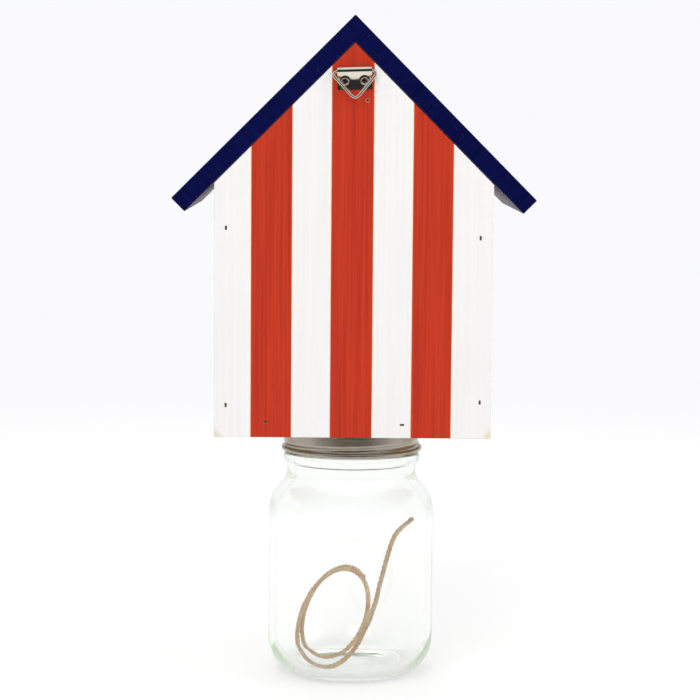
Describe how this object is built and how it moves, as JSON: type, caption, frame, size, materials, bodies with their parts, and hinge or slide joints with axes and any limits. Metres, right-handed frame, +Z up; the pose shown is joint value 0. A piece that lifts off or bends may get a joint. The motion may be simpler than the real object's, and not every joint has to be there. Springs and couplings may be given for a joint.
{
  "type": "carpenter bee trap",
  "caption": "Gabled wooden bee trap house with sloping entrance holes, a hanging ring and a glass jar that screws in below to hold the trapped bees.",
  "frame": {"origin": "on the surface the jar stands on, under the middle of the whole outline", "axes": "+Z up along the jar's axis; the wall with the hanger faces -Y and the front wall, under the roof's overhang, faces +Y; +X to the right as seen from the hanger's side"},
  "size_m": [0.1828, 0.1454, 0.3413],
  "materials": {
    "striped_paint": "satin house paint in seven upright stripes, white at the edges, brick red between, grain showing through",
    "white_paint": "white satin paint",
    "navy_paint": "dark blue semi-gloss paint, undersides white",
    "bare_wood": "bare sawn softwood",
    "brad_steel": "bright wire",
    "nickel": "bright nickel plate",
    "screw_steel": "dark zinc plate",
    "pewter": "tin plate with a bronze tone",
    "clear_glass": "clear soda-lime glass",
    "jute": "dry jute twine, slightly hairy"
  },
  "bodies": {
    "house": {"back_panel": "striped_paint", "front_panel": "striped_paint", "left_side": "white_paint", "right_side": "white_paint", "floor_board": "bare_wood", "left_roof_board": "navy_paint", "right_roof_board": "navy_paint", "back_brad_1": "brad_steel", "back_brad_2": "brad_steel", "back_brad_3": "brad_steel", "back_brad_4": "brad_steel", "back_brad_5": "brad_steel", "back_brad_6": "brad_steel", "front_brad_1": "brad_steel", "front_brad_2": "brad_steel", "front_brad_3": "brad_steel", "front_brad_4": "brad_steel", "front_brad_5": "brad_steel", "front_brad_6": "brad_steel", "left_roof_brad_1": "brad_steel", "left_roof_brad_2": "brad_steel", "left_roof_brad_3": "brad_steel", "left_roof_brad_4": "brad_steel", "right_roof_brad_1": "brad_steel", "right_roof_brad_2": "brad_steel", "right_roof_brad_3": "brad_steel", "right_roof_brad_4": "brad_steel", "hanger_plate": "nickel", "hanger_screw_1": "screw_steel", "hanger_screw_2": "screw_steel", "screw_band": "pewter", "lid_disc": "pewter", "lid_screw_1": "screw_steel", "lid_screw_2": "screw_steel", "lid_screw_3": "screw_steel"},
    "hanger_ring": {"hanger_ring": "nickel"},
    "twine": {"twine_coil": "jute", "twine_tail": "jute"},
    "jar": {"jar": "clear_glass"}
  },
  "joints": [
    {"name": "hanger_swing", "type": "hinge", "parent": "house", "child": "hanger_ring", "pos_m": [-0.00029, -0.06939, 0.31345], "axis": [-0.9994, 0, -0.0349], "range_deg": [0, 160]},
    {"name": "jar_drop", "type": "slide", "parent": "house", "child": "twine", "axis": [0, 0, -1], "range_m": [0, 0.01525]},
    {"name": "jar_turn", "type": "hinge", "parent": "twine", "child": "jar", "pos_m": [0, -0.02254, 0.1], "axis": [0, 0, -1], "range_deg": [0, 1080]}
  ],
  "couplings": [
    {"joint": "jar_drop", "follows": "jar_turn", "m_per_rad": 0.00080851}
  ]
}
